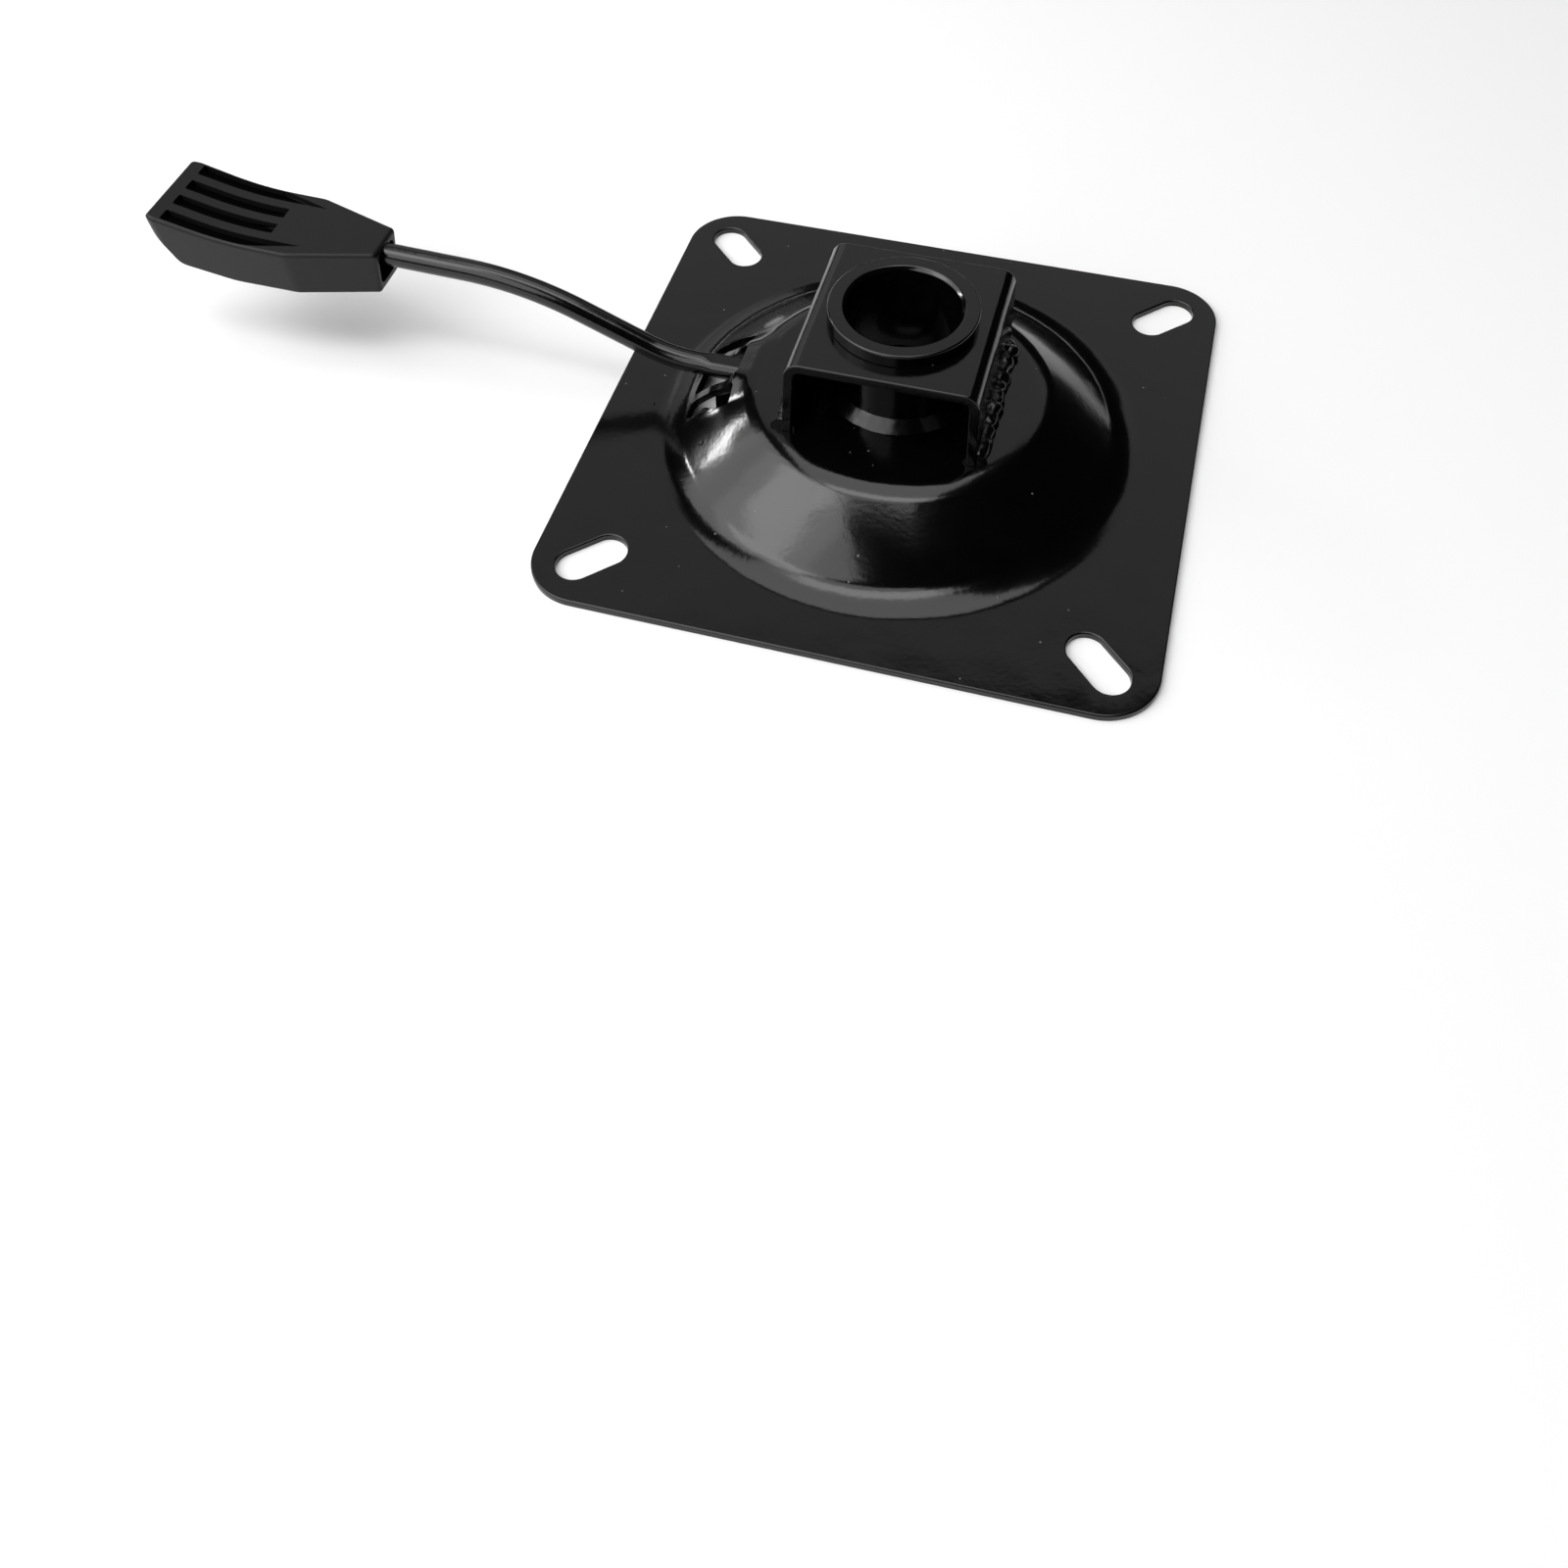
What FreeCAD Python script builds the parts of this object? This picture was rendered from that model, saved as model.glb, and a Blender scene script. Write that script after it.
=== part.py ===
"""Seat plate of a swivelling gas-lift stool: a pressed square plate with a domed middle,
a welded channel and socket for the lift's cone, and a bent lever that presses its button.

Frame: millimetres, +Z up, origin at the plate's centre on its underside, where the seat
is screwed on. The lever leaves the dome towards -X.
"""
import FreeCAD, Part
import math
import os
import Sketcher

SIZES = {
    # pressed plate
    "plate_side": 155.0,
    "plate_corner": 14.0,
    "sheet": 1.8,
    "edge_round": 0.6,
    "slot_offset": 88.7,
    "slot_length": 18.8,
    "slot_width": 9.7,
    # dome in the middle of the plate
    "dome_height": 18.0,
    "cone_top_radius": 38.3,
    "cone_foot_radius": 59.8,
    "rim_round": 5.5,
    "foot_round": 5.0,
    "dome_hole_radius": 13.5,
    "dome_rim": 2.5,
    "dome_lap": 1.25,
    # lever window in the dome's wall: a middle opening and a slit each side of it
    "window_outer": 54.2,
    "window_inner": 38.2,
    "window_width": 11.2,
    "slit_outer": 54.0,
    "slit_inner": 41.8,
    "slit_near": 8.1,
    "slit_far": 14.0,
    "window_round": 1.2,
    # ears turned down from the wall, which carry the pivot
    "ear_outer": 46.5,
    "ear_inner": 37.2,
    "ear_bottom": 4.0,
    "ear_round": 3.0,
    "ear_seat": 1.2,
    "ear_sink": 1.8,
    # folded channel on the dome
    "channel_width": 47.6,
    "channel_depth": 48.0,
    "channel_top": 40.3,
    "channel_sheet": 2.5,
    "channel_bend": 4.0,
    "channel_splay": 0.8,
    # turned socket
    "collar_radius": 18.7,
    "collar_top": 43.7,
    "socket_radius": 16.0,
    "bore_radius": 14.15,
    "bore_lead": 0.9,
    "collar_bevel": 0.5,
    # welds
    "socket_weld_leg": 1.9,
    "socket_weld_height": 2.3,
    "weld_radius": 3.3,
    "weld_pitch": 4.2,
    "weld_length": 46.2,
    "weld_step": 0.5,
    "weld_unevenness": 2.3,
    # lever
    "rod_radius": 3.0,
    "rod_height": 12.7,
    "rod_start": 14.0,
    "first_bend_place": 61.5,
    "first_bend_radius": 36.0,
    "second_bend_place": 101.2,
    "second_bend_rise": 17.4,
    "second_bend_radius": 85.0,
    "rod_outer_end": 180.0,
    "rod_outer_rise": 19.7,
    "flat_start": 37.0,
    "flat_end": 53.5,
    "flat_width": 6.8,
    "flat_thickness": 5.0,
    "flat_round": 2.4,
    "squeeze_reach": 4.5,
    "tip_width": 9.2,
    "tip_thickness": 3.2,
    "tip_start": 6.0,
    "tip_end": 9.0,
    "tip_round": 4.4,
    "pin_radius": 2.5,
    "pin_place": 42.0,
    "pin_length": 19.2,
    "pin_bite": 0.4,
    "pin_bevel": 0.4,
    "pin_clearance": 0.05,
    # grip, all heights above the plate's underside
    "grip_mouth": 139.6,
    "grip_waist": 162.5,
    "grip_end": 202.4,
    "grip_mouth_width": 12.8,
    "grip_mouth_lean": 1.6,
    "grip_width": 26.4,
    "grip_shoulder": 9.0,
    "grip_top": 35.3,
    "grip_dip": 36.4,
    "grip_dip_place": 181.0,
    "grip_dip_radius": 90.0,
    "grip_lip": 41.4,
    "grip_lip_lean": 0.8,
    "grip_nose": 36.8,
    "grip_nose_round": 3.0,
    "grip_base": 22.0,
    "grip_heel": 25.2,
    "grip_heel_place": 197.2,
    "grip_heel_round": 4.0,
    "grip_belly": 22.4,
    "grip_belly_place": 181.5,
    "grip_belly_round": 30.0,
    "grip_end_round": 1.2,
    "grip_margin": 9.0,
    "grip_corner": 4.5,
    "grip_draft": 5.0,
    "grip_edge": 1.0,
    "recess_width": 9.0,
    "recess_low": 24.2,
    "recess_high": 33.4,
    "recess_depth": 9.0,
    "recess_round": 2.0,
    "groove_start": 197.6,
    "groove_inner_end": 169.8,
    "groove_outer_end": 160.0,
    "groove_pitch": 6.7,
    "groove_width": 3.9,
    "groove_depth": 1.6,
    "groove_round": 0.8,
    "groove_curl": 24.0,
    "groove_curl_place": 173.8,
}

doc = FreeCAD.newDocument("StoolSeatPlate")
sheet = doc.addObject("Spreadsheet::Sheet", "Sizes")
for row, (alias, value) in enumerate(SIZES.items(), start=1):
    sheet.set(f"A{row}", alias)
    sheet.set(f"B{row}", str(value))
    sheet.setAlias(f"B{row}", alias)
doc.recompute()


def number(expression):
    """Value of an expression on the sheet, as a plain number."""
    found = sheet.evalExpression(expression)
    return float(getattr(found, "Value", found))


def new_body(label):
    body = doc.addObject("PartDesign::Body", label)
    body.Label = label
    return body


def new_sketch(body, name, role, offset=None):
    """Sketch on one of the body's own origin planes."""
    sketch = body.newObject("Sketcher::SketchObject", name)
    plane = next(o for o in body.Origin.OriginFeatures if o.Role == role)
    sketch.AttachmentSupport = [(plane, "")]
    sketch.MapMode = "FlatFace"
    if offset is not None:
        sketch.AttachmentOffset = offset
    return sketch


def lifted_sketch(body, name, role, expression):
    """Sketch held off one of the body's origin planes by an expression on the sheet."""
    lift = FreeCAD.Vector(0, 0, number(expression))
    sketch = new_sketch(body, name, role, FreeCAD.Placement(lift, FreeCAD.Rotation()))
    sketch.setExpression("AttachmentOffset.Base.z", expression)
    return sketch


def bind(sketch, constraint, expression):
    """Add a dimension to the sketch and tie it to the sheet."""
    index = sketch.addConstraint(constraint)
    sketch.setExpression(f"Constraints[{index}]", expression)


def pin_point(sketch, geo, pos, across, up):
    bind(sketch, Sketcher.Constraint("DistanceX", -1, 1, geo, pos, number(across)), across)
    bind(sketch, Sketcher.Constraint("DistanceY", -1, 1, geo, pos, number(up)), up)


def outline(sketch, corners, closed=True):
    """Run of straight sides. Each corner is (across, up), or (across, up, radius) if rounded."""
    spots = [FreeCAD.Vector(number(c[0]), number(c[1]), 0) for c in corners]
    count = len(spots)
    starts, ends, arcs = list(spots), list(spots), {}
    for i, corner in enumerate(corners):
        if len(corner) < 3:
            continue
        here, radius = spots[i], number(corner[2])
        back = (spots[i - 1] - here).normalize()
        ahead = (spots[(i + 1) % count] - here).normalize()
        half = back.getAngle(ahead) / 2
        reach = radius / math.tan(half)
        ends[i] = here + back * reach
        starts[i] = here + ahead * reach
        centre = here + (back + ahead).normalize() * (radius / math.sin(half))
        first, last = ends[i] - centre, starts[i] - centre
        turns_left = back.cross(ahead).z < 0
        if not turns_left:
            first, last = last, first
        circle = Part.Circle(centre, FreeCAD.Vector(0, 0, 1), radius)
        arcs[i] = (circle, math.atan2(first.y, first.x), math.atan2(last.y, last.x), turns_left)
    side_count = count if closed else count - 1
    sides = [sketch.addGeometry(Part.LineSegment(starts[i], ends[(i + 1) % count]))
             for i in range(side_count)]
    if not closed:
        pin_point(sketch, sides[0], 1, *corners[0])
        pin_point(sketch, sides[-1], 2, *corners[-1])
    for i in range(0 if closed else 1, side_count):
        corner, before, after = corners[i], sides[i - 1], sides[i]
        if i not in arcs:
            sketch.addConstraint(Sketcher.Constraint("Coincident", before, 2, after, 1))
            pin_point(sketch, after, 1, corner[0], corner[1])
            continue
        circle, low, high, turns_left = arcs[i]
        arc = sketch.addGeometry(Part.ArcOfCircle(circle, low, high))
        point = sketch.addGeometry(Part.Point(spots[i]), True)
        entry, leave = (1, 2) if turns_left else (2, 1)
        sketch.addConstraint(Sketcher.Constraint("Tangent", before, 2, arc, entry))
        sketch.addConstraint(Sketcher.Constraint("Tangent", after, 1, arc, leave))
        sketch.addConstraint(Sketcher.Constraint("PointOnObject", point, 1, before))
        sketch.addConstraint(Sketcher.Constraint("PointOnObject", point, 1, after))
        bind(sketch, Sketcher.Constraint("Radius", arc, circle.Radius), corner[2])
        pin_point(sketch, point, 1, corner[0], corner[1])


def circle_outline(sketch, across, up, radius):
    centre = FreeCAD.Vector(number(across), number(up), 0)
    geo = sketch.addGeometry(Part.Circle(centre, FreeCAD.Vector(0, 0, 1), number(radius)))
    bind(sketch, Sketcher.Constraint("Radius", geo, number(radius)), radius)
    pin_point(sketch, geo, 3, across, up)


def rectangle_corners(left, right, low, high, radius):
    return [(left, low, radius), (right, low, radius), (right, high, radius), (left, high, radius)]


def pad(body, sketch, name, length, midplane=False, reverse=False):
    feature = body.newObject("PartDesign::Pad", name)
    feature.Profile = sketch
    feature.setExpression("Length", length)
    feature.Midplane = midplane
    feature.Reversed = reverse
    doc.recompute()
    return feature


def cut_through(body, sketch, name):
    """Pocket right through the body, both ways from the sketch."""
    before = body.Shape.Volume
    feature = body.newObject("PartDesign::Pocket", name)
    feature.Profile = sketch
    feature.Type = "ThroughAll"
    feature.Midplane = True
    doc.recompute()
    if body.Shape.Volume > before - 1:
        raise RuntimeError(f"{name} cuts nothing")
    return feature


def revolve(body, sketch, name):
    feature = body.newObject("PartDesign::Revolution", name)
    feature.Profile = sketch
    feature.ReferenceAxis = (sketch, ["V_Axis"])
    feature.Angle = 360
    doc.recompute()
    return feature


def edges_where(shape, wanted):
    return [f"Edge{n}" for n, edge in enumerate(shape.Edges, start=1) if wanted(edge.BoundBox)]


# Pressed plate: a square blank with rounded corners, four slots that point at the centre,
# a dome drawn up in the middle, and the lever window lanced in the dome's wall.
def make_base_plate():
    body = new_body("base_plate")
    half = "Sizes.plate_side / 2"
    blank_sketch = new_sketch(body, "plate_outline", "XY_Plane")
    outline(blank_sketch, rectangle_corners(f"-{half}", half, f"-{half}", half, "Sizes.plate_corner"))
    blank = pad(body, blank_sketch, "plate_blank", "Sizes.sheet")

    top = number("Sizes.sheet")
    rounding = body.newObject("PartDesign::Fillet", "plate_edge_round")
    rounding.Base = (blank, edges_where(blank.Shape, lambda box: box.ZMin > top - 0.01))
    rounding.setExpression("Radius", "Sizes.edge_round")
    doc.recompute()

    turned = FreeCAD.Placement(FreeCAD.Vector(), FreeCAD.Rotation(FreeCAD.Vector(0, 0, 1), 45))
    slot = new_sketch(body, "slot_outline", "XY_Plane", turned)
    slot_outline(slot)
    slot_cut = cut_through(body, slot, "slot_cut")
    pattern = body.newObject("PartDesign::PolarPattern", "slot_pattern")
    pattern.Originals = [slot_cut]
    pattern.Axis = (slot, ["N_Axis"])
    pattern.Angle = 360
    pattern.Occurrences = 4
    body.Tip = pattern
    doc.recompute()

    middle = new_sketch(body, "dome_blank_outline", "XY_Plane")
    circle_outline(middle, "0", "0", "Sizes.cone_foot_radius + Sizes.dome_rim")
    cut_through(body, middle, "dome_blank_cut")
    section = new_sketch(body, "dome_section", "XZ_Plane")
    outline(section, dome_section_corners())
    revolve(body, section, "dome")

    window = new_sketch(body, "window_outline", "XY_Plane")
    side = "Sizes.window_width / 2"
    outline(window, rectangle_corners(
        "-Sizes.window_outer", "-Sizes.window_inner", f"-{side}", side, "Sizes.window_round"))
    for near, far in (("Sizes.slit_near", "Sizes.slit_far"), ("-Sizes.slit_far", "-Sizes.slit_near")):
        outline(window, rectangle_corners(
            "-Sizes.slit_outer", "-Sizes.slit_inner", near, far, "Sizes.window_round"))
    cut_through(body, window, "window_cut")

    ear = lifted_sketch(body, "ear_outline", "XZ_Plane", "Sizes.slit_near")
    outline(ear, ear_corners())
    circle_outline(ear, "-Sizes.pin_place", PIN_HEIGHT, "Sizes.pin_radius + Sizes.pin_clearance")
    ear_pad = pad(body, ear, "ear", "Sizes.sheet", reverse=True)
    mirror = body.newObject("PartDesign::Mirrored", "ear_mirror")
    mirror.Originals = [ear_pad]
    mirror.MirrorPlane = (next(o for o in body.Origin.OriginFeatures if o.Role == "XZ_Plane"), [""])
    body.Tip = mirror
    doc.recompute()
    return body


def slot_outline(sketch):
    """Slot that lies along the sketch's own X axis, with round ends."""
    inner = "Sizes.slot_offset - (Sizes.slot_length - Sizes.slot_width) / 2"
    outer = "Sizes.slot_offset + (Sizes.slot_length - Sizes.slot_width) / 2"
    radius = number("Sizes.slot_width / 2")
    left, right = number(inner), number(outer)
    normal = FreeCAD.Vector(0, 0, 1)
    first = sketch.addGeometry(Part.ArcOfCircle(
        Part.Circle(FreeCAD.Vector(left, 0, 0), normal, radius), math.pi / 2, 3 * math.pi / 2))
    last = sketch.addGeometry(Part.ArcOfCircle(
        Part.Circle(FreeCAD.Vector(right, 0, 0), normal, radius), -math.pi / 2, math.pi / 2))
    low = sketch.addGeometry(Part.LineSegment(
        FreeCAD.Vector(left, -radius, 0), FreeCAD.Vector(right, -radius, 0)))
    high = sketch.addGeometry(Part.LineSegment(
        FreeCAD.Vector(right, radius, 0), FreeCAD.Vector(left, radius, 0)))
    for line, line_end, arc, arc_end in ((low, 1, first, 2), (low, 2, last, 1), (high, 1, last, 2), (high, 2, first, 1)):
        sketch.addConstraint(Sketcher.Constraint("Tangent", line, line_end, arc, arc_end))
    sketch.addConstraint(Sketcher.Constraint("Equal", first, last))
    bind(sketch, Sketcher.Constraint("Radius", first, radius), "Sizes.slot_width / 2")
    pin_point(sketch, first, 3, inner, "0")
    bind(sketch, Sketcher.Constraint("DistanceX", -1, 1, last, 3, right), outer)


# A wall of even thickness: every inner corner lies under its outer one, moved in by this much.
WALL_SHIFT = ("Sizes.sheet * tan(atan((Sizes.dome_height - Sizes.sheet)"
              " / (Sizes.cone_foot_radius - Sizes.cone_top_radius)) / 2)")


def dome_section_corners():
    """Section of the dome's wall, which runs a little way out into the flat of the plate."""
    outside = "Sizes.cone_foot_radius + Sizes.dome_rim + Sizes.dome_lap"
    return [
        (outside, "0"),
        (outside, "Sizes.sheet"),
        ("Sizes.cone_foot_radius", "Sizes.sheet", "Sizes.foot_round"),
        ("Sizes.cone_top_radius", "Sizes.dome_height", "Sizes.rim_round"),
        ("Sizes.dome_hole_radius", "Sizes.dome_height"),
        ("Sizes.dome_hole_radius", "Sizes.dome_height - Sizes.sheet"),
        (f"Sizes.cone_top_radius - {WALL_SHIFT}", "Sizes.dome_height - Sizes.sheet",
         "Sizes.rim_round - Sizes.sheet"),
        (f"Sizes.cone_foot_radius - {WALL_SHIFT}", "0", "Sizes.foot_round + Sizes.sheet"),
    ]


# The pin hangs under the rod's flattened stretch and is let into it by the bite.
PIN_HEIGHT = "Sizes.rod_height - Sizes.flat_thickness / 2 + Sizes.pin_bite - Sizes.pin_radius"


def ear_corners():
    """Ear outline: round at the bottom, with its top buried in the slope of the wall."""
    slope = "(Sizes.dome_height - Sizes.sheet) / (Sizes.cone_foot_radius - Sizes.cone_top_radius)"
    wall = f"Sizes.sheet + (Sizes.cone_foot_radius - Sizes.ear_outer) * {slope}"
    return [
        ("-Sizes.ear_outer", "Sizes.ear_bottom", "Sizes.ear_round"),
        ("-Sizes.ear_inner", "Sizes.ear_bottom", "Sizes.ear_round"),
        ("-Sizes.ear_inner", "Sizes.dome_height - Sizes.ear_seat"),
        ("-Sizes.ear_outer", f"{wall} - Sizes.ear_sink"),
    ]


# Folded channel that stands on the dome, open to the front and back, with a hole on top
# that the socket drops into.
def make_channel_bracket():
    body = new_body("channel_bracket")
    half = "Sizes.channel_width / 2"
    gauge = "Sizes.channel_sheet"
    section = new_sketch(body, "channel_section", "XZ_Plane")
    outline(section, [
        (f"-{half} - Sizes.channel_splay", "Sizes.dome_height"),
        (f"-{half} - Sizes.channel_splay + {gauge}", "Sizes.dome_height"),
        (f"-{half} + {gauge}", f"Sizes.channel_top - {gauge}", f"Sizes.channel_bend - {gauge}"),
        (f"{half} - {gauge}", f"Sizes.channel_top - {gauge}", f"Sizes.channel_bend - {gauge}"),
        (f"{half} + Sizes.channel_splay - {gauge}", "Sizes.dome_height"),
        (f"{half} + Sizes.channel_splay", "Sizes.dome_height"),
        (half, "Sizes.channel_top", "Sizes.channel_bend"),
        (f"-{half}", "Sizes.channel_top", "Sizes.channel_bend"),
    ])
    pad(body, section, "channel_fold", "Sizes.channel_depth", midplane=True)
    hole = new_sketch(body, "channel_hole_outline", "XY_Plane")
    circle_outline(hole, "0", "0", "Sizes.socket_radius")
    cut_through(body, hole, "channel_hole")
    return body


# Turned socket: a collar that rests on the channel and a thin body down to the dome,
# bored for the lift's cone.
def make_socket_bush():
    body = new_body("socket_bush")
    section = new_sketch(body, "socket_section", "XZ_Plane")
    outline(section, [
        ("Sizes.bore_radius", "Sizes.dome_height"),
        ("Sizes.socket_radius", "Sizes.dome_height"),
        ("Sizes.socket_radius", "Sizes.channel_top"),
        ("Sizes.collar_radius", "Sizes.channel_top"),
        ("Sizes.collar_radius", "Sizes.collar_top - Sizes.collar_bevel"),
        ("Sizes.collar_radius - Sizes.collar_bevel", "Sizes.collar_top"),
        ("Sizes.bore_radius + Sizes.bore_lead", "Sizes.collar_top"),
        ("Sizes.bore_radius", "Sizes.collar_top - Sizes.bore_lead"),
    ])
    revolve(body, section, "socket_turning")
    return body


# Weld round the socket's foot on the dome.
def make_socket_weld():
    body = new_body("socket_weld")
    section = new_sketch(body, "socket_weld_section", "XZ_Plane")
    outline(section, [
        ("Sizes.socket_radius", "Sizes.dome_height"),
        ("Sizes.socket_radius + Sizes.socket_weld_leg", "Sizes.dome_height"),
        ("Sizes.socket_radius + Sizes.socket_weld_leg * 2 / 3",
         "Sizes.dome_height + Sizes.socket_weld_height * 2 / 3"),
        ("Sizes.socket_radius", "Sizes.dome_height + Sizes.socket_weld_height"),
    ])
    revolve(body, section, "socket_weld_turning")
    return body


# Weld along the foot of one flange: ripples that overlap like scales, trimmed where the
# flange and the dome carry them. No two are quite the same size.
def make_bracket_weld(label, side, carriers):
    radius, step = number("Sizes.weld_radius"), number("Sizes.weld_step")
    unevenness = number("Sizes.weld_unevenness")
    pitch, length = number("Sizes.weld_pitch"), number("Sizes.weld_length")
    foot = number("Sizes.channel_width / 2 + Sizes.channel_splay")
    height = number("Sizes.dome_height")
    count = round(length / pitch)
    bead = None
    for n in range(count):
        crest = radius + step / 2 * math.sin(unevenness * n + side)
        start = FreeCAD.Vector(side * foot, n * pitch - length / 2, height)
        ripple = Part.makeCone(crest, crest - step, pitch, start, FreeCAD.Vector(0, 1, 0))
        bead = bead.fuse(ripple) if bead else ripple
    corner = FreeCAD.Vector(foot - number("Sizes.channel_sheet / 2"), -length, height)
    outside = Part.makeBox(3 * radius, 2 * length, 3 * radius, corner)
    if side < 0:
        outside = outside.mirror(FreeCAD.Vector(), FreeCAD.Vector(1, 0, 0))
    bead = bead.common(outside)
    for carrier in carriers:
        bead = bead.cut(carrier.Shape)
    feature = doc.addObject("Part::Feature", label)
    feature.Label = label
    feature.Shape = max(bead.Solids, key=lambda solid: solid.Volume)
    return feature


# Pivot pin, welded across the underside of the rod's flattened stretch.
def make_pivot_pin():
    blank = doc.addObject("Part::Cylinder", "pin_blank")
    blank.setExpression("Radius", "Sizes.pin_radius")
    blank.setExpression("Height", "Sizes.pin_length")
    blank.Placement.Rotation = FreeCAD.Rotation(FreeCAD.Vector(1, 0, 0), -90)
    blank.setExpression("Placement.Base.x", "-Sizes.pin_place")
    blank.setExpression("Placement.Base.y", "-Sizes.pin_length / 2")
    blank.setExpression("Placement.Base.z", PIN_HEIGHT)
    doc.recompute()
    pin = doc.addObject("Part::Chamfer", "pivot_pin")
    pin.Label = "pivot_pin"
    pin.Base = blank
    bevel = number("Sizes.pin_bevel")
    round_edges = [n for n, edge in enumerate(blank.Shape.Edges, start=1) if edge.Curve.TypeId == "Part::GeomCircle"]
    pin.Edges = [(n, bevel, bevel) for n in round_edges]
    doc.recompute()
    return pin, blank


# Lever rod: round bar, level under the dome, raised by two bends, level again in the grip.
# It is squeezed flat over the pin, and its inner tip is a broad flat pad under the bore.
def make_lever_rod(pin_blank):
    body = new_body("lever_bar")
    section = lifted_sketch(body, "rod_section", "YZ_Plane", "-Sizes.rod_start")
    circle_outline(section, "0", "Sizes.rod_height", "Sizes.rod_radius")
    path = new_sketch(body, "rod_path", "XZ_Plane")
    outline(path, [
        ("-Sizes.rod_start", "Sizes.rod_height"),
        ("-Sizes.first_bend_place", "Sizes.rod_height", "Sizes.first_bend_radius"),
        ("-Sizes.second_bend_place", "Sizes.rod_height + Sizes.second_bend_rise",
         "Sizes.second_bend_radius"),
        ("-Sizes.rod_outer_end", "Sizes.rod_height + Sizes.rod_outer_rise"),
    ], closed=False)
    doc.recompute()
    pipe = body.newObject("PartDesign::AdditivePipe", "rod_run")
    pipe.Profile = section
    pipe.Spine = (path, [f"Edge{n + 1}" for n in range(len(path.Shape.Edges))])
    doc.recompute()

    taper_start = lifted_sketch(body, "tip_taper_start", "YZ_Plane", "-Sizes.rod_start")
    circle_outline(taper_start, "0", "Sizes.rod_height", "Sizes.rod_radius")
    taper_end = lifted_sketch(body, "tip_taper_end", "YZ_Plane", "-Sizes.tip_start")
    ellipse_outline(taper_end, "Sizes.rod_height", "Sizes.tip_width / 2", "Sizes.tip_thickness / 2")
    taper = body.newObject("PartDesign::AdditiveLoft", "tip_taper")
    taper.Profile = taper_start
    taper.Sections = [taper_end]
    doc.recompute()
    wide = "Sizes.tip_width / 2"
    tip = lifted_sketch(body, "tip_outline", "XY_Plane", "Sizes.rod_height - Sizes.tip_thickness / 2")
    outline(tip, [
        ("-Sizes.tip_start", f"-{wide}"),
        ("Sizes.tip_end", f"-{wide}", "Sizes.tip_round"),
        ("Sizes.tip_end", wide, "Sizes.tip_round"),
        ("-Sizes.tip_start", wide),
    ])
    pad(body, tip, "tip", "Sizes.tip_thickness")

    thick = "Sizes.flat_thickness / 2"
    flat = lifted_sketch(body, "flat_outline", "XY_Plane", f"Sizes.rod_height - {thick}")
    outline(flat, rectangle_corners("-Sizes.flat_end", "-Sizes.flat_start", "-Sizes.flat_width / 2",
                                    "Sizes.flat_width / 2", "Sizes.flat_round"))
    pad(body, flat, "flat", "Sizes.flat_thickness")
    squeeze = new_sketch(body, "squeeze_outline", "XZ_Plane")
    for near, far in ((thick, "Sizes.squeeze_reach"), ("-Sizes.squeeze_reach", f"-{thick}")):
        outline(squeeze, [("-Sizes.flat_end", f"Sizes.rod_height + {near}"),
                          ("-Sizes.flat_start", f"Sizes.rod_height + {near}"),
                          ("-Sizes.flat_start", f"Sizes.rod_height + {far}"),
                          ("-Sizes.flat_end", f"Sizes.rod_height + {far}")])
    cut_through(body, squeeze, "squeeze")

    rod = doc.addObject("Part::Cut", "lever_rod")
    rod.Label = "lever_rod"
    rod.Base = body
    rod.Tool = pin_blank
    doc.recompute()
    return rod


def ellipse_outline(sketch, up, half_width, half_height):
    """Level ellipse on the sketch's upright axis."""
    middle = FreeCAD.Vector(0, number(up), 0)
    wide, tall = number(half_width), number(half_height)
    geo = sketch.addGeometry(Part.Ellipse(middle + FreeCAD.Vector(wide, 0, 0),
                                          middle + FreeCAD.Vector(0, tall, 0), middle))
    sketch.exposeInternalGeometry(geo)
    major, minor = geo + 1, geo + 2
    pin_point(sketch, geo, 3, "0", up)
    sketch.addConstraint(Sketcher.Constraint("Horizontal", major))
    bind(sketch, Sketcher.Constraint("Distance", major, 2 * wide), f"2 * ({half_width})")
    bind(sketch, Sketcher.Constraint("Distance", minor, 2 * tall), f"2 * ({half_height})")


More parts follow.
